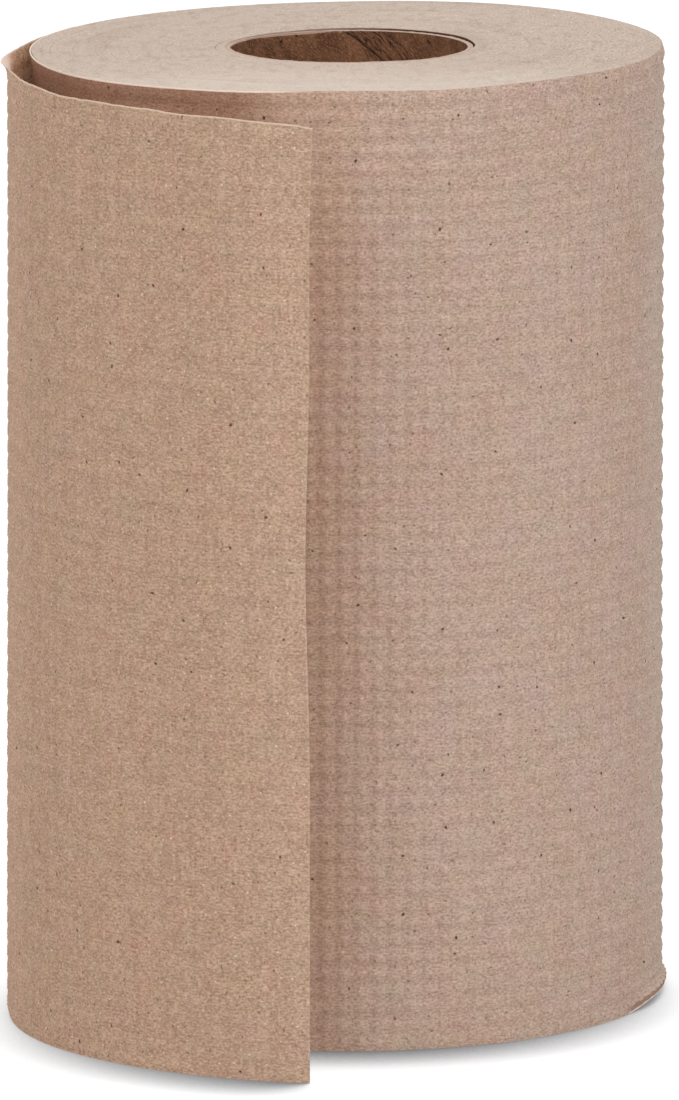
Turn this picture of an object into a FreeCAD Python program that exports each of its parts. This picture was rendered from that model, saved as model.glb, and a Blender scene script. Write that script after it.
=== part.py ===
import FreeCAD, Part
import math
import os

# Paper towel roll standing on its end: one long web of brown embossed paper, wound tight on a board tube.
# The outermost turn has come loose. It leaves the roll at the back left, passes round the left side with a
# growing gap and ends in front in a straight cut edge. All turns are one web, so they are one solid.
# The origin is on the tube's axis at the base. +Z runs up the axis and the front is -Y. Sizes are in mm.
# An azimuth is in degrees, taken at the axis from the front towards the left, and a sheet that is followed
# from the roll to its free edge runs towards smaller azimuths.

# Wound web
web_width = 203.2
roll_radius = 67.0
sheet_thickness = 0.35

# Loose outermost turn: it eases off the roll, runs straight and then curls round the front.
# Each curve is more open than the roll by its extra radius. The free stretch is most open at the top, where
# it is also a little longer, so the free edge leans outwards and is cut slightly out of square.
leaving_azimuth = 120.0
easing_length = 57.5
easing_extra_radius = 38.5
straight_length = 5.0
curl_length = 44.5
curl_extra_radius = 5.0
free_base_length = 60.0
free_base_extra_radius = 10.5
free_top_length = 64.0
free_top_extra_radius = 52.5

# Turn lines: the spiral that shows on both ends of the roll where turns stand slightly apart
turn_line_count = 5
turn_line_width = 0.6
turn_line_depth = 0.5
turn_line_inner_margin = 3.0
turn_line_outer_margin = 3.5

# Board tube, wound from thin plies
bore_radius = 25.4
tube_wall = 1.1
winding_clearance = 0.25

# Inner ply of the tube, which stops short of the top end at the back left, up to its seam
short_ply_seam_azimuth = 177.0
short_ply_sector = 26.0
short_ply_drop = 0.6
short_ply_thickness = 0.5

# How far a cutting solid runs past the face that it cuts
overcut = 1.0

# Sizes that follow from the ones above
tube_radius = bore_radius + tube_wall
winding_inner_radius = tube_radius + winding_clearance
easing_radius = roll_radius + easing_extra_radius
curl_radius = roll_radius + curl_extra_radius
free_base_radius = roll_radius + free_base_extra_radius
free_top_radius = roll_radius + free_top_extra_radius

ORIGIN = FreeCAD.Vector(0, 0, 0)
Z_AXIS = FreeCAD.Vector(0, 0, 1)


def at_azimuth(azimuth, radius):
    angle = math.radians(azimuth)
    return FreeCAD.Vector(-radius * math.sin(angle), -radius * math.cos(angle), 0)


def heading_at(azimuth):
    """Direction along the roll's wall towards smaller azimuths."""
    angle = math.radians(azimuth)
    return FreeCAD.Vector(math.cos(angle), -math.sin(angle), 0)


def turned(vector, angle):
    """The vector turned about +Z by an angle in radians."""
    cosine = math.cos(angle)
    sine = math.sin(angle)
    return FreeCAD.Vector(cosine * vector.x - sine * vector.y, sine * vector.x + cosine * vector.y, vector.z)


def left_of(heading):
    return turned(heading, math.pi / 2)


def follow(point, heading, spans):
    """Stations (point, heading) at the start, middle and end of each span of a sheet's outer face.

    A span is (length, radius). A radius of None is a straight run. Every curve turns left, round the roll.
    """
    stations = []
    for length, radius in spans:
        span = []
        for share in (0.0, 0.5, 1.0):
            if radius is None:
                span.append((point + heading * (length * share), heading))
            else:
                turn = share * length / radius
                centre = point + left_of(heading) * radius
                span.append((centre + turned(point - centre, turn), turned(heading, turn)))
        point, heading = span[-1]
        stations.append((span, radius))
    return stations


def sheet_edges(stations, inset, height):
    """Edges along a followed sheet, moved by inset towards the roll and lifted to a height."""
    edges = []
    lift = Z_AXIS * height
    for span, radius in stations:
        start, middle, end = [point + left_of(heading) * inset + lift for point, heading in span]
        if radius is None:
            edges.append(Part.LineSegment(start, end).toShape())
        else:
            edges.append(Part.Arc(start, middle, end).toShape())
    return edges


def first_point(edges):
    return edges[0].Vertexes[0].Point


def last_point(edges):
    return edges[-1].Vertexes[-1].Point


def line(start, end):
    return Part.LineSegment(start, end).toShape()


def crease_point(centre, radius):
    """Where the inner face of the easing sheet comes out of the roll's wall, on the front side."""
    distance = centre.Length
    along = (distance ** 2 + roll_radius ** 2 - radius ** 2) / (2 * distance)
    across = math.sqrt(roll_radius ** 2 - along ** 2)
    outward = centre * (1.0 / distance)
    leaving = heading_at(leaving_azimuth)
    return outward * along + leaving * across


def turn_line_solid():
    """Spiral band of semicircles about two centres, which grows by one pitch in each turn."""
    inner_radius = winding_inner_radius + turn_line_inner_margin
    outer_radius = roll_radius - turn_line_outer_margin
    pitch = (outer_radius - inner_radius) / turn_line_count
    sides = []
    for side in (-0.5, 0.5):
        edges = []
        for half in range(2 * turn_line_count):
            sign = 1 if half % 2 == 0 else -1
            centre = FreeCAD.Vector(-sign * pitch / 4, 0, 0)
            radius = inner_radius + half * pitch / 2 + side * turn_line_width
            start = centre + FreeCAD.Vector(sign * radius, 0, 0)
            middle = centre + FreeCAD.Vector(0, sign * radius, 0)
            end = centre - FreeCAD.Vector(sign * radius, 0, 0)
            edges.append(Part.Arc(start, middle, end).toShape())
        sides.append(edges)
    inner, outer = sides
    ends = [line(first_point(inner), first_point(outer)), line(last_point(inner), last_point(outer))]
    outline = Part.Wire(Part.__sortEdges__(inner + outer + ends))
    band = Part.Face(outline).extrude(Z_AXIS * (turn_line_depth + overcut))
    band.rotate(ORIGIN, Z_AXIS, -90 - leaving_azimuth)
    return band


def make_paper_roll():
    start = at_azimuth(leaving_azimuth, roll_radius)
    heading = heading_at(leaving_azimuth)
    foot = follow(start, heading, [
        (easing_length, easing_radius),
        (straight_length, None),
        (curl_length, curl_radius),
    ])

    # Tight roll and the upright foot of the loose turn, as one plan outline
    outer = sheet_edges(foot, 0.0, 0.0)
    inner = sheet_edges(foot, sheet_thickness, 0.0)
    easing_centre = start + left_of(heading) * easing_radius
    inner_easing_radius = easing_radius - sheet_thickness
    crease = crease_point(easing_centre, inner_easing_radius)
    easing_end = last_point(inner[:1])
    towards_middle = ((crease + easing_end) * 0.5 - easing_centre).normalize()
    inner[0] = Part.Arc(crease, easing_centre + towards_middle * inner_easing_radius, easing_end).toShape()
    wall_middle = (crease + start).normalize() * -roll_radius
    wall = Part.Arc(crease, wall_middle, start).toShape()
    cap = line(last_point(outer), last_point(inner))
    outline = Part.Wire(Part.__sortEdges__([wall, cap] + outer + inner))
    roll = Part.Face(outline).extrude(Z_AXIS * web_width)
    roll = roll.cut(Part.makeCylinder(winding_inner_radius, web_width))

    # Free stretch of the loose turn, ruled between its curl at the base and its more open curl at the top
    point, heading = foot[-1][0][-1]
    free_curls = (
        (0.0, free_base_length, free_base_radius),
        (web_width, free_top_length, free_top_radius),
    )
    rims = []
    for height, length, radius in free_curls:
        stations = follow(point, heading, [(length, radius)])
        outer = sheet_edges(stations, 0.0, height)
        inner = sheet_edges(stations, sheet_thickness, height)
        joint = line(first_point(inner), first_point(outer))
        free_edge = line(last_point(outer), last_point(inner))
        rims.append(Part.Wire(Part.__sortEdges__([joint] + outer + [free_edge] + inner)))
    roll = roll.fuse(Part.makeLoft(rims, True, True)).removeSplitter()

    # Turn lines on both ends
    for height in (-overcut, web_width - turn_line_depth):
        band = turn_line_solid()
        band.translate(Z_AXIS * height)
        roll = roll.cut(band)
    return roll


def make_core_tube():
    tube = Part.makeCylinder(tube_radius, web_width)
    tube = tube.cut(Part.makeCylinder(bore_radius, web_width))

    # Inner ply, cut short from its seam towards the left
    base = Z_AXIS * (web_width - short_ply_drop)
    height = short_ply_drop + overcut
    missing = Part.makeCylinder(bore_radius + short_ply_thickness, height, base, Z_AXIS, short_ply_sector)
    missing = missing.cut(Part.makeCylinder(bore_radius - overcut, height, base))
    missing.rotate(ORIGIN, Z_AXIS, -90 - short_ply_seam_azimuth)
    return tube.cut(missing)


def only_solid(shape, name):
    solids = shape.Solids
    if len(solids) != 1 or not solids[0].isValid():
        raise ValueError(name + " is not one valid solid")
    return solids[0]


def main():
    os.makedirs("parts", exist_ok=True)
    for name, make in (("paper_roll", make_paper_roll), ("core_tube", make_core_tube)):
        solid = only_solid(make(), name)
        solid.exportStep("parts/" + name + ".step")
        box = solid.BoundBox
        print(name, "volume", round(solid.Volume, 1), "box", [round(value, 2) for value in (
            box.XMin, box.YMin, box.ZMin, box.XMax, box.YMax, box.ZMax)])


main()
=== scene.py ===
import cmath
import math

import bpy
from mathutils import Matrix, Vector, noise


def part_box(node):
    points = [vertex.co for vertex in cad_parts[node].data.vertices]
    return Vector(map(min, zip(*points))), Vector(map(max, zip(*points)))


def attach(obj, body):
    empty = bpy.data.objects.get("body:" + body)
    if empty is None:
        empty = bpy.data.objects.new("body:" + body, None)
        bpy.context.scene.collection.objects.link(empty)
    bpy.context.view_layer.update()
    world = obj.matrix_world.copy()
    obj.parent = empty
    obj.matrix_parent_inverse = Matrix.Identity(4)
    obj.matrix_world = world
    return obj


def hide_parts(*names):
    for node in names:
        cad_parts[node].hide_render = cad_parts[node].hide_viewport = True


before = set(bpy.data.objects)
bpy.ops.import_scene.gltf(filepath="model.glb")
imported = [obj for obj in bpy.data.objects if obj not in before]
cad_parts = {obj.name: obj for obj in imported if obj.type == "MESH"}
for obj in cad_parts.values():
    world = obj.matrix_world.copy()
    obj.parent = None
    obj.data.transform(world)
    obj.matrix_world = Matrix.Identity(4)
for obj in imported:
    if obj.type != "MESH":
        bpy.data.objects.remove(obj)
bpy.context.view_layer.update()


# Camera: a long lens in front of the roll, a little above it. The frame is 679 by 1100 pixels, and the long
# side takes the sensor's width.
camera_distance = 3.0962
camera_height = 0.65535
camera_pitch = 0.17921
camera_turn = 0.00049
focal_pixels = 14810.5
frame_height_pixels = 1100
sensor_mm = 36.0

camera_data = bpy.data.cameras.new("camera")
camera_data.sensor_width = sensor_mm
camera_data.lens = focal_pixels / frame_height_pixels * sensor_mm
camera_data.clip_end = 60.0
camera = bpy.data.objects.new("camera", camera_data)
camera.location = (0.0, -camera_distance, camera_height)
camera.rotation_euler = (math.pi / 2 - camera_pitch, 0.0, camera_turn)
bpy.context.scene.collection.objects.link(camera)
bpy.context.scene.camera = camera


# Outer turn of the tight winding: the paper's own outermost layer, from where the loose turn leaves it at the
# back left, round the back, the right and the front, to where it runs under the loose turn. It is one
# embossed sheet, so its radius falls by one sheet's thickness over the turn.
MM = 0.001
web_low, web_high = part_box("paper_roll")
web_width = web_high.z - web_low.z
roll_radius = web_high.x
sheet_thickness = 0.20 * MM
wall_swell = 0.32 * MM
leaving_azimuth = math.radians(120.0)
top_slope = 0.00995
smooth_angle = math.radians(40.0)

# Where the upper end stands proud or low: azimuth and half width in degrees, rise in mm
rim_rises = ((213.0, 42.0, 0.43), (3.0, 22.0, 0.42), (318.0, 26.0, 0.20), (58.0, 34.0, -0.42))
inner_rise = 0.36 * MM

# Embossing: low cells in rows, deepest at the front
emboss_rows = 56
emboss_columns = 116
facets_per_cell = 4
cell_height = web_width / emboss_rows
cell_width = math.tau * roll_radius / emboss_columns
emboss_depth = 0.50 * MM
front_emboss_gain = 0.35
front_azimuth = math.radians(350.0)
front_half_width = math.radians(32.0)

# The part under the loose turn is coarser. The sheet's inner side is one smooth shell.
fine_wall_end = math.radians(395.0)
coarse_facets_per_cell = 2
wall_shell = 0.25 * MM
shell_rows = 2
shell_turn = 5.0 * MM

# Lower edge at the right, which is lifted and turned out
lip_span = [math.radians(azimuth) for azimuth in (250.0, 262.0, 286.0, 298.0)]
lip_height = 9.0 * MM
lip_lift = 1.6 * MM
lip_reach = 0.95 * MM
lip_flare = (3.4 * MM, 1.4 * MM)
lip_undercut = 0.45 * MM
lip_spread = 0.30 * MM

# Left side, which the loose turn left slack, with its upper rim turned out
left_span = (math.radians(402.0), math.radians(430.0))
left_sink = 0.30 * MM
left_emboss_share = 0.3
left_rim_out = 0.66 * MM
left_rim_height = 3.2 * MM


def outward(azimuth):
    """Plan direction from the axis, as a complex number. Azimuth runs from the front towards the left."""
    return -1j * cmath.exp(-1j * azimuth)


def smooth_step(low, high, value):
    share = min(1.0, max(0.0, (value - low) / (high - low)))
    return share * share * (3.0 - 2.0 * share)


def web_top_flat(x):
    """Height of the plane near which the web is cut, slightly out of square. It falls to the left."""
    return web_width - top_slope * (roll_radius - x)


def web_top(x, y):
    """Height of the web's upper end, which stands a little proud or low in places."""
    azimuth = math.atan2(-x, -y)
    rim = 0.0
    for centre, half_width, rise in rim_rises:
        off = abs((azimuth - math.radians(centre) + math.pi) % math.tau - math.pi)
        rim += rise * MM * smooth_step(math.radians(half_width), 0.0, off)
    inner = inner_rise * smooth_step(2.0 * MM, -6.0 * MM, y) * smooth_step(20.0 * MM, 4.0 * MM, x)
    share = smooth_step(27.0 * MM, 62.0 * MM, math.hypot(x, y))
    return web_top_flat(x) + inner * (1.0 - share) + rim * share


def emboss_wave(share):
    """Height across one embossed cell, from a valley at its border to a raised middle."""
    return math.sin(math.pi * share) ** 2


def emboss_height(along, up):
    return emboss_wave(along / cell_width) * emboss_wave(up / cell_height)


def wall_radius(azimuth):
    """Radius of the outer turn's valleys. Azimuth runs from the leaving point round the back."""
    turn_share = (azimuth - leaving_azimuth) / math.tau
    swell = wall_swell * smooth_step(0.0, 0.2, turn_share)
    sink = left_sink * smooth_step(*left_span, azimuth)
    return roll_radius - emboss_depth - sheet_thickness * turn_share + swell - sink


def new_grid(name, columns, rows):
    """A flat grid, one unit square, with its vertices in rows from the lower left."""
    bpy.ops.object.select_all(action="DESELECT")
    bpy.ops.mesh.primitive_grid_add(x_subdivisions=columns, y_subdivisions=rows, size=1.0)
    piece = bpy.context.object
    piece.name = name
    piece.data.name = name
    return piece


def write_sheet_map(piece, places):
    """A UV map in metres along the sheet and up it, from each vertex's (along, up)."""
    layer = piece.data.uv_layers[0]
    layer.name = "sheet"
    for loop in piece.data.loops:
        layer.data[loop.index].uv = places[loop.vertex_index]


def edit(piece, select_mode):
    """Opens one piece in edit mode with nothing selected."""
    bpy.ops.object.select_all(action="DESELECT")
    bpy.context.view_layer.objects.active = piece
    piece.select_set(True)
    bpy.ops.object.mode_set(mode="EDIT")
    bpy.ops.mesh.select_mode(type=select_mode)
    bpy.ops.mesh.select_all(action="DESELECT")


def select_chains(piece, row_length, last_row):
    """Selects, in edit mode, the edges along a grid's first and last rows."""
    edit(piece, "EDGE")
    bpy.ops.object.mode_set(mode="OBJECT")
    last_start = last_row * row_length
    for edge in piece.data.edges:
        low, high = min(edge.vertices), max(edge.vertices)
        edge.select = high < row_length or low >= last_start
    bpy.ops.object.mode_set(mode="EDIT")


def shade():
    """Turns all faces of the piece in edit mode outwards, leaves edit mode and shades it smooth."""
    bpy.ops.mesh.select_all(action="SELECT")
    bpy.ops.mesh.normals_make_consistent(inside=False)
    bpy.ops.object.mode_set(mode="OBJECT")
    bpy.ops.object.shade_smooth_by_angle(angle=smooth_angle)


wall_columns_fine = round((fine_wall_end - leaving_azimuth) * roll_radius / cell_width * facets_per_cell)
wall_columns_coarse = round(
    (leaving_azimuth + math.tau - fine_wall_end) * roll_radius / cell_width * coarse_facets_per_cell)
wall_columns = wall_columns_fine + wall_columns_coarse
wall_rows = emboss_rows * facets_per_cell
last_wall_row = wall_rows + 2 * shell_rows


def wall_column_azimuth(column):
    if column <= wall_columns_fine:
        return leaving_azimuth + (fine_wall_end - leaving_azimuth) * column / wall_columns_fine
    share = (column - wall_columns_fine) / wall_columns_coarse
    return fine_wall_end + (leaving_azimuth + math.tau - fine_wall_end) * share


def left_rim(azimuth):
    """How far the upper rim is turned out at the left, where the loose turn stands clear of it."""
    return left_rim_out * smooth_step(*left_span, azimuth)


def lip_share(azimuth):
    """How far the lower edge is lifted and turned out at the right, from 0 to 1."""
    start, full, full_end, end = lip_span
    return smooth_step(start, full, azimuth) * smooth_step(end, full_end, azimuth)


roll_wall = new_grid("roll_wall", wall_columns, last_wall_row)
places = []
for index, vertex in enumerate(roll_wall.data.vertices):
    row, column = divmod(index, wall_columns + 1)
    azimuth = wall_column_azimuth(column)
    along = (leaving_azimuth - azimuth) * roll_radius
    height = min(1.0, max(0.0, (row - shell_rows) / wall_rows)) * web_width
    if row in (0, last_wall_row):
        height = shell_turn if row == 0 else web_width - shell_turn
    gain = 1.0 + front_emboss_gain * smooth_step(front_half_width, 0.0, abs(azimuth - front_azimuth))
    gain -= (1.0 - left_emboss_share) * smooth_step(*left_span, azimuth)
    radius = wall_radius(azimuth) + gain * emboss_depth * emboss_height(along, height)
    if row < shell_rows or row > wall_rows + shell_rows:
        radius = wall_radius(azimuth) - wall_shell
    lip = lip_share(azimuth)
    radius += lip_reach * lip * smooth_step(*lip_flare, height)
    radius += lip_spread * lip * smooth_step(105.0 * MM, 15.0 * MM, height)
    radius += left_rim(azimuth) * smooth_step(web_width - left_rim_height, web_width, height)
    place = outward(azimuth) * radius
    lift = lip_lift * lip * max(0.0, 1.0 - height / lip_height)
    vertex.co = (place.real, place.imag, height * web_top(place.real, place.imag) / web_width + lift)
    places.append((along, height))
write_sheet_map(roll_wall, places)
select_chains(roll_wall, wall_columns + 1, last_wall_row)
bpy.ops.mesh.bridge_edge_loops()
bpy.ops.mesh.select_all(action="SELECT")
bpy.ops.mesh.fill_holes(sides=0)
shade()

bump_distance = 0.1 * MM


class Finish:
    """A material being built from nodes."""

    def __init__(self, material):
        self.material = bpy.data.materials.new(material) if isinstance(material, str) else material
        self.material.use_nodes = True
        self.tree = self.material.node_tree

    def node(self, kind, settings=None, sockets=None, output=0):
        """Adds a node, makes its settings, then sets or links its sockets, and gives one of its outputs."""
        made = self.tree.nodes.new(kind)
        for name, setting in (settings or {}).items():
            setattr(made, name, setting)
        for name, value in (sockets or {}).items():
            if isinstance(value, Amount):
                self.tree.links.new(value.socket, made.inputs[name])
            else:
                made.inputs[name].default_value = value
        return Amount(self, made.outputs[output])

    def vector(self, operation, first, second=None, scale=None, output=0):
        sockets = {0: first}
        if second is not None:
            sockets[1] = second
        if scale is not None:
            sockets["Scale"] = scale
        return self.node("ShaderNodeVectorMath", {"operation": operation}, sockets, output)

    def mix(self, share, first, second, blend_type="MIX"):
        """Colour between two colours. Inputs 6 and 7 of the node are its colours."""
        settings = {"data_type": "RGBA", "blend_type": blend_type}
        return self.node("ShaderNodeMix", settings, {0: share, 6: first, 7: second}, output=2)

    def noise(self, place, scale, detail=2.0, roughness=0.5, flat=True, output=0):
        return self.node(
            "ShaderNodeTexNoise", {"noise_dimensions": "2D" if flat else "3D"},
            {"Vector": place, "Scale": scale, "Detail": detail, "Roughness": roughness}, output)

    def close(self, colour, height, roughness, bump=0.5):
        """Ends in a matt surface of a colour, with a relief."""
        shader = self.tree.nodes["Principled BSDF"]
        shader.inputs["Specular IOR Level"].default_value = 0.2
        normal = self.node("ShaderNodeBump", None, {
            "Strength": bump, "Distance": bump_distance, "Height": height})
        for name, value in (("Base Color", colour), ("Roughness", roughness), ("Normal", normal)):
            self.tree.links.new(value.socket, shader.inputs[name])
        return self.material


class Amount:
    """A node's output. Arithmetic on it adds Math nodes."""

    def __init__(self, finish, socket):
        self.finish = finish
        self.socket = socket

    def other(self, output):
        """Another output of the same node."""
        return Amount(self.finish, self.socket.node.outputs[output])

    def maths(self, operation, *others):
        return self.finish.node("ShaderNodeMath", {"operation": operation}, dict(enumerate((self, *others))))

    def __add__(self, other):
        return self.maths("ADD", other)

    def __sub__(self, other):
        return self.maths("SUBTRACT", other)

    def __mul__(self, other):
        return self.maths("MULTIPLY", other)

    def __truediv__(self, other):
        return self.maths("DIVIDE", other)

    __rmul__ = __mul__

    def __rsub__(self, other):
        return self * -1.0 + other

    def between(self, low, high):
        """0 at low, 1 at high and a smooth change between them. High may be the smaller number."""
        sockets = {0: self, 1: low, 2: high, 3: 0.0, 4: 1.0}
        return self.finish.node("ShaderNodeMapRange", {"interpolation_type": "SMOOTHSTEP"}, sockets)


def tone(red, green, blue):
    """A colour written as the eye sees it, each part from 0 to 255, for a colour socket."""
    def linear(level):
        share = level / 255.0
        return share / 12.92 if share <= 0.04045 else ((share + 0.055) / 1.055) ** 2.4
    return (linear(red), linear(green), linear(blue), 1.0)


def flecks(finish, place, cell, width, length, share_of_cells, seed):
    """Mask of short fibres or specks, one at most in each cell, each at its own angle and size."""
    moved = finish.vector("ADD", place, (seed, 1.7 * seed, 0.0))
    scaled = finish.vector("SCALE", moved, scale=1.0 / cell)
    centre = finish.node(
        "ShaderNodeTexVoronoi", {"voronoi_dimensions": "2D"},
        {"Vector": scaled, "Scale": 1.0, "Randomness": 0.9}, "Position")
    chances = finish.node("ShaderNodeSeparateColor", None, {0: centre.other("Color")})
    offset = finish.vector("SUBTRACT", scaled, centre)
    turned = finish.node(
        "ShaderNodeVectorRotate", {"rotation_type": "Z_AXIS"},
        {"Vector": offset, "Angle": chances.other(1) * math.tau})
    squeezed = finish.vector("MULTIPLY", turned, (width / length, 1.0, 0.0))
    distance = finish.vector("LENGTH", squeezed, output="Value")
    reach = (chances.other(2) * 0.4 + 0.3) * (width / cell)
    return (distance / reach).between(1.15, 0.45) * chances.maths("LESS_THAN", share_of_cells)


def towel_paper(name, base, cloud, deep, light, edge, rim, emboss_relief, patchy, tints):
    """Unbleached paper: cloudy colour, a grain of fine fibres, dark and pale flecks, and a painted highlight
    on the raised middle of each embossed cell and along the cut upper edge.

    Each tint multiplies the colour, from none at its start to all at its end, in mm along the sheet. The rim
    is the painted highlight's strength, start and end on the upper edge, along the sheet too. The edge that
    is turned out at the lower right shows a band of painted shade at its fold and a painted highlight along
    its cut edge.
    """
    finish = Finish(name)
    lip_start, lip_end = [
        (leaving_azimuth - azimuth) * roll_radius / MM for azimuth in (lip_span[3], lip_span[0])]
    sheet = finish.node("ShaderNodeUVMap", {"uv_map": "sheet"})
    place = finish.vector("SCALE", sheet, scale=1.0 / MM)
    lengthwise = finish.vector("MULTIPLY", place, (0.72, 1.0, 1.0))
    clouds = finish.noise(place, 0.045, 3.0, 0.55)
    patches = finish.noise(lengthwise, 0.28, 2.0, 0.6)
    grain = finish.noise(lengthwise, 2.1, 3.0, 0.78)
    strokes = finish.noise(finish.vector("MULTIPLY", place, (0.42, 1.5, 1.0)), 1.5, 2.0, 0.6)

    hues = finish.noise(place, 0.13, 2.0, 0.55, output=1)
    hue = finish.vector("ADD", finish.vector("SCALE", hues, scale=0.17), (0.915, 0.915, 0.915))
    colour = finish.mix(clouds.between(0.36, 0.66), base, cloud)
    colour = finish.mix(1.0, colour, hue, "MULTIPLY")
    colour = finish.mix(patchy * patches.between(0.52, 0.32), colour, deep)
    colour = finish.mix(patchy * patches.between(0.50, 0.70), colour, light)
    colour = finish.mix(0.76 * grain.between(0.50, 0.30), colour, deep)
    colour = finish.mix(0.76 * grain.between(0.50, 0.72), colour, light)
    colour = finish.mix(0.30 * strokes.between(0.47, 0.32), colour, deep)
    colour = finish.mix(0.30 * strokes.between(0.54, 0.70), colour, light)
    for cell, width, length, share_of_cells, seed, strength, fleck in (
            (10.0, 0.50, 0.76, 0.50, 11.0, 0.92, tone(66, 46, 33)),
            (27.0, 0.16, 3.00, 0.40, 19.0, 0.60, tone(92, 66, 50)),
            (4.2, 0.34, 0.60, 0.55, 37.0, 0.68, tone(88, 63, 48)),
            (2.0, 0.28, 0.46, 0.60, 53.0, 0.48, tone(112, 84, 66)),
            (3.4, 0.34, 0.45, 0.50, 71.0, 0.60, tone(236, 216, 200))):
        mask = flecks(finish, place, cell, width, length, share_of_cells, seed)
        colour = finish.mix(strength * mask, colour, fleck)

    along = finish.node("ShaderNodeSeparateXYZ", None, {0: place})
    up = along.other(1)
    across_wave = (along * (math.tau * MM / cell_width)).maths("COSINE")
    up_wave = (up * (math.tau * MM / cell_height)).maths("COSINE")
    # Painted highlight: the raised middle of each embossed cell is made paler.
    colour = finish.mix(0.15 * (across_wave + up_wave).between(-0.7, -1.8), colour, light)
    for start, end, tint in tints:
        colour = finish.mix(along.between(start, end), colour, (*tint, 1.0), "MULTIPLY")
    # Painted highlight: a pale line along the cut upper edge, where it would catch the light.
    rim_highlight_strength, rim_start, rim_end = rim
    rim_highlight = up.between(web_width / MM - 0.40, web_width / MM - 0.16) * along.between(rim_start, rim_end)
    colour = finish.mix(rim_highlight_strength * rim_highlight, colour, edge)
    # Painted shade: a darker band at the fold of the turned-out lower edge;
    # below it a painted highlight along its cut edge.
    turned_out = along.between(lip_start, lip_start + 4.0) * along.between(lip_end, lip_end - 3.0)
    fold_shade = turned_out * up.between(1.85, 1.45) * up.between(0.35, 0.75)
    colour = finish.mix(fold_shade, colour, (0.66, 0.56, 0.50, 1.0), "MULTIPLY")
    colour = finish.mix(0.9 * turned_out * up.between(0.34, 0.22), colour, edge)

    pit = (across_wave + up_wave).between(0.8, 1.9)
    relief = grain * 0.5 + strokes * 0.3 - emboss_relief * pit
    return finish.close(colour, relief, 0.12 * grain + 0.86)


# Its tints: darker and warmer towards where the loose turn leaves it; painted light that makes the back and
# Wall paper: its edge tone is a painted highlight along the upper cut edge where it lies under the loose
# turn.
# right side lighter and cooler; painted shade beside the loose turn's free edge; and deeper painted shade on
# the stretch under the loose turn.
roll_wall.data.materials.append(towel_paper(
    "wall_paper", tone(192, 165, 149), tone(193, 168, 154), tone(151, 123, 106), tone(226, 199, 183),
    tone(255, 238, 222), (0.9, -284.0, -300.0), 0.5, 0.16, (
        (-60.0, 0.0, (0.84, 0.77, 0.68)), (-206.0, -184.0, (1.07, 1.14, 1.16)),
        (-272.0, -286.0, (0.96, 0.92, 0.87)), (-292.0, -306.0, (0.66, 0.55, 0.50)))))
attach(roll_wall, "root")
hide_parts("paper_roll")


# Wound turns: all the layers under the outer one, seen at both ends as a fine spiral of cut edges. Some turns
# stand a little proud or slack. Round the back and right of the tube the innermost ones leave a gap, whose
# side is painted deep brown as shade where it shows above the tube.
core_outer_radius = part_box("core_tube")[1].x
winding_inner_radius = core_outer_radius + 0.02 * MM
band_pitch = 0.97 * MM
band_rows = (0.0, 0.30, 0.70)
bands = 43
face_columns = 280
spiral_start = math.radians(150.0)
groove_depth = 0.05 * MM
slack_line_depth = 0.16 * MM
outer_gap = 0.04 * MM
left_gap = 0.14 * MM
left_gap_azimuth = math.radians(440.0)
left_gap_half_width = math.radians(16.0)
core_gap_right = 0.45 * MM
core_gap_back = 0.60 * MM
core_gap_left = 0.18 * MM


def azimuth_of(angle):
    """Azimuth from the leaving point round the back, for an angle from +X."""
    return leaving_azimuth + (-math.pi / 2 - angle - leaving_azimuth) % math.tau


def turns_outer_radius(angle):
    """Radius at which the turns end under the outer one, with a little more room at the left."""
    azimuth = azimuth_of(angle)
    left = smooth_step(left_gap_half_width, 0.0, abs(azimuth - left_gap_azimuth))
    return wall_radius(azimuth) - wall_shell - outer_gap - left_gap * left


def turns_inner_radius(angle):
    """Radius at which the turns begin round the tube, with a gap at the right, the back and the left."""
    angle = math.degrees((angle + math.pi) % math.tau - math.pi)
    right = smooth_step(-14.0, 2.0, angle) * smooth_step(118.0, 96.0, angle)
    back = smooth_step(8.0, 34.0, angle) * smooth_step(118.0, 90.0, angle)
    left = smooth_step(174.0, 150.0, angle) * smooth_step(60.0, 104.0, angle)
    return winding_inner_radius + core_gap_right * right + core_gap_back * back + core_gap_left * left


def off_round(x, y, height):
    """Plan place near the tube's upper end, which is squeezed slightly at the left."""
    share = smooth_step(46.0 * MM, 27.0 * MM, math.hypot(x, y))
    share *= smooth_step(web_width - 45.0 * MM, web_width - 10.0 * MM, height)
    return x + share * (0.47 * MM - 0.01 * x), y


def close_ring(piece):
    """Joins a grid's last column to its first, and then the two rings that are left open."""
    edit(piece, "EDGE")
    bpy.ops.mesh.select_all(action="SELECT")
    bpy.ops.mesh.remove_doubles(threshold=0.002 * MM)
    bpy.ops.mesh.select_all(action="DESELECT")
    bpy.ops.mesh.select_non_manifold(
        use_wire=False, use_multi_face=False, use_non_contiguous=False, use_verts=False)
    bpy.ops.mesh.bridge_edge_loops()
    shade()


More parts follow.
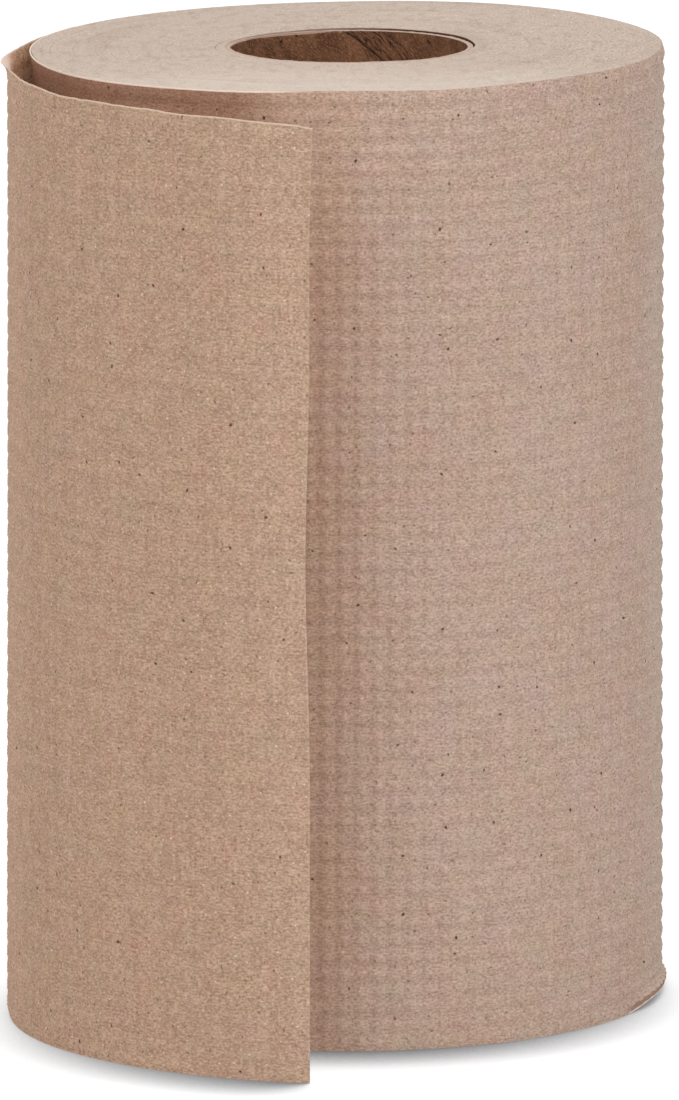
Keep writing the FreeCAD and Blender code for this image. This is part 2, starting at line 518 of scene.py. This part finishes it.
face_rows = [(band, share) for band in range(-3, bands) for share in band_rows]
side_row = len(face_rows)
ring_rows = 2 * len(face_rows) + 1
wound_turns = new_grid("wound_turns", face_columns, ring_rows - 1)
for index, vertex in enumerate(wound_turns.data.vertices):
    row, column = divmod(index, face_columns + 1)
    turn_share = column / face_columns
    angle = spiral_start + math.tau * turn_share
    on_top = row > side_row
    band, row_share = face_rows[ring_rows - 1 - row if on_top else min(row, side_row - 1)]
    turn_number = band + turn_share
    low, high = turns_inner_radius(angle), turns_outer_radius(angle)
    radius = winding_inner_radius + band_pitch * (turn_number + row_share)
    relief = 0.0
    if low < radius < high:
        spot = Vector((turn_number * 1.37, math.cos(angle) * 1.6, math.sin(angle) * 1.6))
        change = noise.noise(spot)
        relief = groove_depth * change
        if row_share == 0.0:
            slack = smooth_step(0.15, 0.45, noise.noise(spot * 0.8 + Vector((40.0, 0.0, 0.0))))
            relief = -groove_depth * (1.0 + change) - slack_line_depth * slack
        relief *= smooth_step(0.0, band_pitch, min(radius - low, high - radius))
    if on_top:
        high += left_rim(azimuth_of(angle))
    elif row < side_row:
        high -= lip_undercut * lip_share(azimuth_of(angle))
    radius = min(high, max(low, radius))
    x, y = off_round(radius * math.cos(angle), radius * math.sin(angle), web_width if on_top else 0.0)
    vertex.co = (x, y, web_top(x, y) + relief if on_top else max(0.0, -relief))
    if row == side_row:
        vertex.co.z = web_width - shell_turn
close_ring(wound_turns)


def cut_turns(name, face, shadow, pale_fibre_and_highlight, side_shade_tone, deep):
    """Cut edges of the turns: fine lines that run round the roll, broken up by fibres.

    The outer side low down, which shows under the lifted lower edge, is painted browner as shade, the bore's
    side is painted deep brown as shade where it shows above the tube, and the front of the face is painted
    lighter as a painted highlight.
    """
    finish = Finish(name)
    place = finish.vector("SCALE", finish.node("ShaderNodeTexCoord", output="Object"), scale=1.0 / MM)
    flat = finish.vector("MULTIPLY", place, (1.0, 1.0, 0.0))
    radius = finish.vector("LENGTH", flat, output="Value")
    around = finish.vector("SCALE", finish.vector("NORMALIZE", flat), scale=5.0)
    ring_place = finish.vector("ADD", around, finish.node("ShaderNodeCombineXYZ", None, {2: radius}))
    rings = finish.noise(ring_place, 1.6, 4.0, 0.75, flat=False)
    broad = finish.noise(ring_place, 0.16, 2.0, 0.5, flat=False)
    fibres = finish.noise(finish.vector("MULTIPLY", place, (1.0, 0.4, 1.0)), 2.2, 3.0, 0.75, flat=False)
    mottle = finish.noise(finish.vector("MULTIPLY", place, (1.0, 0.5, 1.0)), 0.35, 2.0, 0.6, flat=False)
    right = finish.node("ShaderNodeSeparateXYZ", None, {0: place})
    rough_side = right.between(17.0, 54.0) * 0.45 + 0.62
    colour = finish.mix(0.30 * rings.between(0.50, 0.32), face, shadow)
    colour = finish.mix(0.25 * broad.between(0.48, 0.30), colour, shadow)
    colour = finish.mix(0.35 * mottle.between(0.50, 0.32), colour, shadow)
    colour = finish.mix(rough_side * fibres.between(0.50, 0.28), colour, shadow)
    colour = finish.mix(rough_side * fibres.between(0.52, 0.74), colour, pale_fibre_and_highlight)
    # Painted highlight: the front of the face is made lighter.
    colour = finish.mix(0.35 * right.other(1).between(-22.0, -56.0), colour, pale_fibre_and_highlight)
    # Painted shade: the outer side low down, which shows under the lifted lower edge, is made browner.
    side_shade = radius.between(65.6, 65.9) * right.other(2).between(8.0, 6.0)
    colour = finish.mix(side_shade, colour, side_shade_tone)
    # Painted shade: the bore's side is made deep brown where it shows above the tube in the gap.
    below_top = (right - roll_radius / MM) * top_slope + web_width / MM - right.other(2)
    gap_shade = radius.between(29.4, 28.6) * below_top.between(0.08, 0.20) * right.other(1).between(-4.0, 0.0)
    gap_shade = gap_shade * (right.between(-8.0, 12.0) * 0.5 + 0.5)
    colour = finish.mix(gap_shade, colour, deep)
    return finish.close(colour, rings * 0.6 + fibres * 0.6, 0.1 * fibres + 0.88)


wound_turns.data.materials.append(cut_turns(
    "cut_turns", tone(205, 188, 174), tone(170, 146, 128), tone(232, 220, 210),
    tone(158, 118, 92), tone(84, 58, 44)))
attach(wound_turns, "root")
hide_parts("paper_roll")


# Loose turn: the free end of the web. It eases off the roll at the back left, curls round the left side and
# ends in front in a straight cut edge. Its top is more open than its base, so the free edge leans outwards.
loose_start = roll_radius * outward(leaving_azimuth)
loose_heading = cmath.exp(-1j * leaving_azimuth)
easing_length, easing_radius = 57.5 * MM, roll_radius + 38.5 * MM
straight_length = 5.0 * MM
curl_length, curl_radius = 44.5 * MM, roll_radius + 5.0 * MM
free_base_length, free_base_radius = 60.0 * MM, roll_radius + 10.5 * MM
free_top_length, free_top_radius = 64.0 * MM, roll_radius + 52.5 * MM
foot_length = easing_length + straight_length + curl_length
loose_thickness = 0.22 * MM
loose_emboss_depth = 0.28 * MM
loose_fade = (60.0 * MM, 95.0 * MM)
rim_flare = 1.8 * MM
rim_flare_height = 1.5 * MM
pale_rim_height = 7.0 * MM
inside_glow = 0.11
left_pull = 0.65 * MM
free_edge_wave = 0.85 * MM
rim_flare_span = (30.0 * MM, 55.0 * MM, 63.0 * MM)
edge_droop = 0.35 * MM
edge_droop_length = 2.5 * MM


def along_curve(point, heading, radius, length):
    """Point and heading further along a curve that turns left, round the roll."""
    centre = point + 1j * heading * radius
    turn = cmath.exp(1j * length / radius)
    return centre + (point - centre) * turn, heading * turn


def foot_place(length):
    """Point and heading on the upright foot of the loose turn, at a length from the leaving point."""
    point, heading = along_curve(loose_start, loose_heading, easing_radius, min(length, easing_length))
    length -= easing_length
    if length > 0.0:
        point += heading * min(length, straight_length)
        length -= straight_length
    if length > 0.0:
        point, heading = along_curve(point, heading, curl_radius, length)
    return point, heading


def free_edge_shift(height):
    """How far the cut edge runs past its straight line. It is hollow at mid height and longest at the top."""
    hollow = smooth_step(45.0 * MM, 0.0, abs(height - 110.0 * MM))
    corner = smooth_step(178.0 * MM, web_width, height)
    return 0.1 * MM - free_edge_wave * hollow + 0.65 * MM * corner


def loose_top(along):
    """How far the loose turn's rim stands above the web's end."""
    left = 0.6 * smooth_step(108.0 * MM, 82.0 * MM, along) * smooth_step(62.0 * MM, 76.0 * MM, along)
    return (left - 0.25 * smooth_step(132.0 * MM, 143.0 * MM, along) - 0.4 * smooth_step(
        150.0 * MM, 166.0 * MM, along)) * MM


def flare_share(along, height, depth):
    """How far the rim is turned out at the left, from 0 to 1. It starts slowly and ends in a sharp corner."""
    low, tip, high = rim_flare_span
    rise = smooth_step(low, tip, along) if along < tip else 1.0 - (along - tip) / (high - tip)
    return max(0.0, rise) * smooth_step(web_width - depth, web_width, height)


foot_columns = round(foot_length / cell_width * facets_per_cell)
free_columns = round(free_base_length / cell_width * facets_per_cell)
loose_columns = foot_columns + free_columns
loose_length = foot_length + free_top_length
foot_end, foot_heading = foot_place(foot_length)
loose_turn = new_grid("loose_turn", loose_columns, wall_rows)
places = []
edge_places = []
for index, vertex in enumerate(loose_turn.data.vertices):
    row, column = divmod(index, loose_columns + 1)
    share_up = row / wall_rows
    height = share_up * web_width
    free_length = free_base_length + (free_top_length - free_base_length) * share_up
    if column <= foot_columns:
        along = foot_length * column / foot_columns
        point, heading = foot_place(along)
    else:
        free_share = (column - foot_columns) / free_columns
        free_share *= 1.0 + free_edge_shift(height) / free_base_length * free_share
        base_point, base_heading = along_curve(
            foot_end, foot_heading, free_base_radius, free_share * free_base_length)
        top_point, top_heading = along_curve(
            foot_end, foot_heading, free_top_radius, free_share * free_top_length)
        point = base_point + (top_point - base_point) * share_up
        heading = base_heading + (top_heading - base_heading) * share_up
        heading /= abs(heading)
        along = foot_length + free_share * free_length
    depth = emboss_depth + (loose_emboss_depth - emboss_depth) * smooth_step(*loose_fade, along)
    free = smooth_step(0.0, 20.0 * MM, along)
    wave = noise.noise(Vector((along * 22.0, height * 9.0, 3.0)))
    lift = depth * emboss_height(along, height) - depth + 0.4 * MM * wave * free
    at_left = smooth_step(36.0 * MM, 58.0 * MM, along) * smooth_step(105.0 * MM, 75.0 * MM, along)
    lift -= left_pull * at_left * smooth_step(5.0 * MM, 125.0 * MM, height)
    flare = flare_share(along, height, rim_flare_height)
    point += -1j * heading * (lift + rim_flare * flare)
    ripple = noise.noise(Vector((along * 90.0, 7.0, 0.0)))
    ripple += 0.5 * noise.noise(Vector((along * 400.0, 2.0, 0.0)))
    sag = 0.22 * MM * free * ripple * smooth_step(0.94, 1.0, share_up)
    droop = edge_droop * smooth_step(loose_length - edge_droop_length, loose_length, along)
    top = web_top_flat(point.real) + loose_top(along) - droop
    vertex.co = (point.real, point.imag, share_up * top + sag)
    places.append((along, height))
    from_edge = max(0.0, foot_length + free_length + free_edge_shift(height) - along)
    edge_places.append((from_edge, flare_share(along, height, pale_rim_height)))
write_sheet_map(loose_turn, places)
edge_map = loose_turn.data.uv_layers.new(name="edges")
for loop in loose_turn.data.loops:
    edge_map.data[loop.index].uv = edge_places[loop.vertex_index]


def paint_edge_highlights(material, free_edge_highlight, flare_highlight, flare_range, glow):
    """Paints highlights on the cut free edge and the turned-out rim. A glow, where given, is a painted glow
    that stands in for the light which comes through the thin sheet.
    """
    finish = Finish(material)
    edges = finish.node("ShaderNodeUVMap", {"uv_map": "edges"})
    from_edge = finish.node("ShaderNodeSeparateXYZ", None, {0: edges})
    shader = finish.tree.nodes["Principled BSDF"]
    colour = Amount(finish, shader.inputs["Base Color"].links[0].from_socket)
    colour = finish.mix((from_edge * (1.0 / MM)).between(0.38, 0.1) * 0.15, colour, free_edge_highlight)
    colour = finish.mix(from_edge.other(1).between(*flare_range) * 0.9, colour, flare_highlight)
    finish.tree.links.new(colour.socket, shader.inputs["Base Color"])
    if glow:
        finish.tree.links.new(colour.socket, shader.inputs["Emission Color"])
        shader.inputs["Emission Strength"].default_value = glow


# Its inside is painted lighter and warmer than the outside, painted light for the shaded gap, with the same
# Outside of the loose turn: its two tints are painted light, lighter from the leaving point round to the left
# painted highlight on its rim.
# side and lighter near the free end; its rim is a painted highlight along the whole upper cut edge.
outside = towel_paper(
    "loose_paper", tone(177, 146, 124), tone(175, 146, 125), tone(133, 101, 79), tone(212, 181, 159),
    tone(230, 207, 185), (0.65, -2.0, -1.0), 0.3, 0.18, (
        (98.0, 72.0, (1.12, 1.12, 1.13)), (142.0, 168.0, (1.09, 1.11, 1.13))))
inside = towel_paper(
    "loose_paper_inside", tone(218, 174, 140), tone(208, 162, 124), tone(140, 100, 66), tone(240, 206, 176),
    tone(244, 222, 204), (0.65, -2.0, -1.0), 0.4, 0.45, ())
for material, flare_range, glow in ((outside, (0.80, 0.97), 0.0), (inside, (0.05, 0.85), inside_glow)):
    paint_edge_highlights(material, tone(222, 198, 176), tone(238, 214, 202), flare_range, glow)
    loose_turn.data.materials.append(material)
thicken = loose_turn.modifiers.new("thickness", "SOLIDIFY")
thicken.thickness = loose_thickness
thicken.offset = -1.0
thicken.material_offset = 1
bpy.ops.object.modifier_apply(modifier=thicken.name)
for vertex in loose_turn.data.vertices:
    vertex.co.z = max(0.0, vertex.co.z)
bpy.ops.object.shade_smooth_by_angle(angle=smooth_angle)
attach(loose_turn, "root")
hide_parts("paper_roll")


# Core tube: brown board strips wound into a tube. The inner ply is one helical strip whose edges meet in a
# seam that climbs the bore. Beside the seam it is crumpled at the top, and it stops short of the cut end.
bore_radius = 25.4 * MM
inner_ply_thickness = 0.45 * MM
seam_lead = 122.0 * MM
seam_top_azimuth = math.radians(175.8)
columns_per_turn = 240
strip_turns = 4

# Rows across the strip, in mm. It is a little narrower than its lead, so the seam stands open.
strip_rows = (
    0.0, 0.3, 0.7, 1.2, 1.8, 2.5, 3.3, 4.2, 5.2, 6.4, 8.0, 10.5, 15.0, 30.0, 60.0, 90.0, 117.0, 121.74)
seam_curl = 0.12 * MM
wrinkle_depth = 0.55 * MM
short_ply_drop = 0.50 * MM
core_recess = 0.30 * MM
top_zone = 2.0 * MM


def core_drop(x, y):
    """How far the tube stops short of the paper's face: most at the back and right, nothing in front."""
    off_back = abs((math.atan2(y, x) - math.radians(70.0) + math.pi) % math.tau - math.pi)
    fray = 0.10 * MM * noise.noise(Vector((x * 700.0, y * 700.0, 1.0)))
    return core_recess * smooth_step(math.radians(115.0), math.radians(45.0), off_back) + fray


seam_angle = -math.pi / 2 - seam_top_azimuth
strip_columns = columns_per_turn * strip_turns
inner_ply = new_grid("core_inner_ply", strip_columns, len(strip_rows) - 1)
places = []
for index, vertex in enumerate(inner_ply.data.vertices):
    row, column = divmod(index, strip_columns + 1)
    turn = math.tau * column / columns_per_turn
    angle = seam_angle + turn
    across = strip_rows[row] * MM
    height = web_width + (turn / math.tau - (strip_turns - 1)) * seam_lead + across
    edge_near = min(across, strip_rows[-1] * MM - across)
    beside_seam = smooth_step(8.0 * MM, 0.5 * MM, across)
    near_top = smooth_step(web_width - 18.0 * MM, web_width - 2.0 * MM, height)
    crumple = abs(noise.noise(Vector((across * 800.0, turn * 2.2, 1.0))))
    wrinkle = crumple * wrinkle_depth * beside_seam * near_top
    radius = bore_radius - seam_curl * smooth_step(1.0 * MM, 0.0, edge_near) - wrinkle
    vertex.co = (radius * math.cos(angle), radius * math.sin(angle), height)
    places.append((bore_radius * turn, across))
write_sheet_map(inner_ply, places)
thicken = inner_ply.modifiers.new("thickness", "SOLIDIFY")
thicken.thickness = inner_ply_thickness
thicken.offset = 1.0
bpy.ops.object.modifier_apply(modifier=thicken.name)
for end_height, end_normal in ((web_top_flat(0.0), (-top_slope, 0.0, 1.0)), (0.0, (0.0, 0.0, -1.0))):
    edit(inner_ply, "FACE")
    bpy.ops.mesh.select_all(action="SELECT")
    bpy.ops.mesh.bisect(plane_co=(0.0, 0.0, end_height), plane_no=end_normal, clear_outer=True, use_fill=True)
    bpy.ops.object.mode_set(mode="OBJECT")
for vertex in inner_ply.data.vertices:
    azimuth = (-math.pi / 2 - math.atan2(vertex.co.y, vertex.co.x)) % math.tau
    if vertex.co.z > web_width - top_zone:
        short = smooth_step(math.radians(88.0), math.radians(160.0), azimuth)
        short *= 1.0 if azimuth < seam_top_azimuth else 0.0
        vertex.co.z += web_top(vertex.co.x, vertex.co.y) - web_top_flat(vertex.co.x)
        vertex.co.z -= short_ply_drop * short + core_drop(vertex.co.x, vertex.co.y)
    vertex.co.x, vertex.co.y = off_round(*vertex.co)
edit(inner_ply, "FACE")
shade()

# Section of the outer plies: radius in mm, and share of the height
outer_ply_rows = ((25.80, 0.0), (25.80, 1.0), (26.10, 1.0), (26.50, 1.0), (26.50, 0.0), (26.10, 0.0))
outer_ply = new_grid("core_outer_ply", columns_per_turn, len(outer_ply_rows) - 1)
places = []
for index, vertex in enumerate(outer_ply.data.vertices):
    row, column = divmod(index, columns_per_turn + 1)
    angle = math.tau * column / columns_per_turn
    radius, share_up = outer_ply_rows[row]
    x, y = radius * MM * math.cos(angle), radius * MM * math.sin(angle)
    top = web_top(x, y) - core_drop(x, y)
    x, y = off_round(x, y, share_up * web_width)
    vertex.co = (x, y, share_up * top)
    places.append((bore_radius * angle, share_up * web_width))
write_sheet_map(outer_ply, places)
close_ring(outer_ply)


def core_board(name, face, dark, light, rim, rim_depth, mark_and_crease_shade):
    """Brown board: fibres along each strip, creases at the seam, marks and a cut rim, rim_depth mm deep. The
    crumpled zone beside the seam, its creases and the seam itself are darkened with painted shade.
    """
    finish = Finish(name)
    sheet = finish.node("ShaderNodeUVMap", {"uv_map": "sheet"})
    place = finish.vector("SCALE", sheet, scale=1.0 / MM)
    clouds = finish.noise(place, 0.16, 3.0, 0.6)
    fibres = finish.noise(finish.vector("MULTIPLY", place, (0.6, 1.3, 1.0)), 2.2, 3.0, 0.75)
    colour = finish.mix(0.85 * clouds.between(0.40, 0.62), face, dark)
    colour = finish.mix(0.90 * fibres.between(0.50, 0.30), colour, dark)
    colour = finish.mix(0.75 * fibres.between(0.50, 0.70), colour, light)

    solid_place = finish.vector("SCALE", finish.node("ShaderNodeTexCoord", output="Object"), scale=1.0 / MM)
    x_place = finish.node("ShaderNodeSeparateXYZ", None, {0: solid_place})
    up = x_place.other(2)
    top = web_width / MM
    across = finish.node("ShaderNodeSeparateXYZ", None, {0: place}, 1)
    crease_turn = finish.node(
        "ShaderNodeVectorRotate", {"rotation_type": "Z_AXIS"},
        {"Vector": place, "Angle": math.radians(-24.0)})
    crease_noise = finish.noise(finish.vector("MULTIPLY", crease_turn, (0.16, 0.85, 1.0)), 1.0, 2.0, 0.55)
    creased = across.between(9.0, 5.0) * up.between(top - 15.0, top - 6.0)
    crease = (crease_noise - 0.5).maths("ABSOLUTE").between(0.05, 0.0) * creased
    # Painted shade: the crumpled zone beside the seam is darker, and its creases and the seam are dark lines.
    colour = finish.mix(0.30 * creased, colour, dark)
    colour = finish.mix(0.95 * crease, colour, mark_and_crease_shade)
    colour = finish.mix(across.between(0.8, 0.2) * up.between(top - 20.0, top - 5.0) * 0.6, colour, mark_and_crease_shade)
    colour = finish.mix(0.25 * x_place.between(4.0, 22.0), colour, dark)
    for mark_x, mark_drop, length, width, slope in (
            (-10.9, 1.5, 0.9, 0.25, -0.7), (-13.9, 2.7, 0.45, 0.35, 0.3), (17.4, 2.4, 0.9, 0.22, -0.8)):
        right = x_place - mark_x
        rise = up - (top - mark_drop)
        lengthwise = (right * math.cos(slope) + rise * math.sin(slope)) * (1.0 / length)
        sideways = (rise * math.cos(slope) - right * math.sin(slope)) * (1.0 / width)
        reach = lengthwise * lengthwise + sideways * sideways
        colour = finish.mix(0.85 * reach.between(1.0, 0.4), colour, mark_and_crease_shade)
    small_marks = flecks(finish, place, 3.5, 0.4, 0.8, 0.35, 5.0)
    colour = finish.mix(0.5 * small_marks, colour, mark_and_crease_shade)
    below_top = (x_place - roll_radius / MM) * top_slope + top - up
    colour = finish.mix(0.9 * below_top.between(rim_depth, rim_depth - 0.12), colour, rim)
    return finish.close(colour, fibres * 0.5 - crease * 1.5, 0.1 * fibres + 0.85, bump=0.6)


board_tones = (tone(136, 94, 68), tone(96, 62, 42), tone(176, 132, 102))
for piece, rim, rim_depth in (
        (inner_ply, tone(212, 186, 168), 0.48), (outer_ply, tone(206, 176, 160), 2.2)):
    piece.data.materials.append(core_board(piece.name, *board_tones, rim, rim_depth, tone(40, 22, 14)))
    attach(piece, "root")
    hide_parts("core_tube")


# Floor: a pale sheet that looks white to the camera, with a painted shadow next to the roll from an occlusion
# mask.
floor_size = 16.0
bpy.ops.object.select_all(action="DESELECT")
bpy.ops.mesh.primitive_plane_add(size=floor_size)
floor = bpy.context.object
floor.name = "floor"
floor_finish = Finish("floor")
floor_shader = floor_finish.tree.nodes["Principled BSDF"]
floor_shader.inputs["Roughness"].default_value = 0.9
floor_shader.inputs["Specular IOR Level"].default_value = 0.0
floor_shader.inputs["Emission Strength"].default_value = 1.0
shadow_reach = 0.026
shadow_lean = (0.01, 0.88, 0.45)
seen = floor_finish.node("ShaderNodeLightPath", output="Is Camera Ray")
lean = floor_finish.vector("NORMALIZE", shadow_lean)
painted_shadow_openness = floor_finish.node(
    "ShaderNodeAmbientOcclusion", {"samples": 16}, {"Distance": shadow_reach, "Normal": lean}, "AO")
# Painted shadow: the mask darkens both the floor's colour and its glow; lamps add their own shadows to the
# colour.
clear_of_painted_shadow = painted_shadow_openness.between(0.24, 0.86) * 0.87 + 0.13
paleness = 1.0 - seen * (1.0 - 0.5 * clear_of_painted_shadow)
floor_colour = floor_finish.mix(paleness, (0.0, 0.0, 0.01, 1.0), (0.80, 0.80, 0.80, 1.0))
glow = floor_finish.mix(seen * clear_of_painted_shadow * 0.8, (0.0, 0.0, 0.0, 1.0), (0.985, 0.995, 1.0, 1.0))
floor_finish.tree.links.new(floor_colour.socket, floor_shader.inputs["Base Color"])
floor_finish.tree.links.new(glow.socket, floor_shader.inputs["Emission Color"])
floor.data.materials.append(floor_finish.material)


# Studio light: an even pale surround, a wide soft lamp on each side in front, and one overhead.
world_level = 0.60
world = bpy.data.worlds.new("studio")
bpy.context.scene.world = world
world.use_nodes = True
surround = world.node_tree.nodes["Background"]
surround.inputs["Color"].default_value = (1.0, 1.0, 1.0, 1.0)
surround.inputs["Strength"].default_value = world_level
lamp_target = Vector((0.0, 0.0, 0.1))


def soft_lamp(name, place, size, watts, colour):
    """A square lamp, aimed at the roll's middle."""
    lamp_data = bpy.data.lights.new(name, "AREA")
    lamp_data.shape = "SQUARE"
    lamp_data.size = size
    lamp_data.energy = watts
    lamp_data.color = colour
    lamp = bpy.data.objects.new(name, lamp_data)
    lamp.location = place
    lamp.rotation_euler = (lamp_target - Vector(place)).to_track_quat("-Z", "Y").to_euler()
    bpy.context.scene.collection.objects.link(lamp)


soft_lamp("right_lamp", (0.7, -2.0, 1.5), 0.9, 15.0, (1.0, 0.98, 0.95))
soft_lamp("left_lamp", (-2.1, -0.9, 1.2), 1.1, 15.0, (1.0, 0.98, 0.95))
soft_lamp("top_lamp", (0.1, -0.6, 1.9), 1.0, 7.0, (1.0, 0.98, 0.96))
bpy.context.scene.view_settings.view_transform = "Standard"
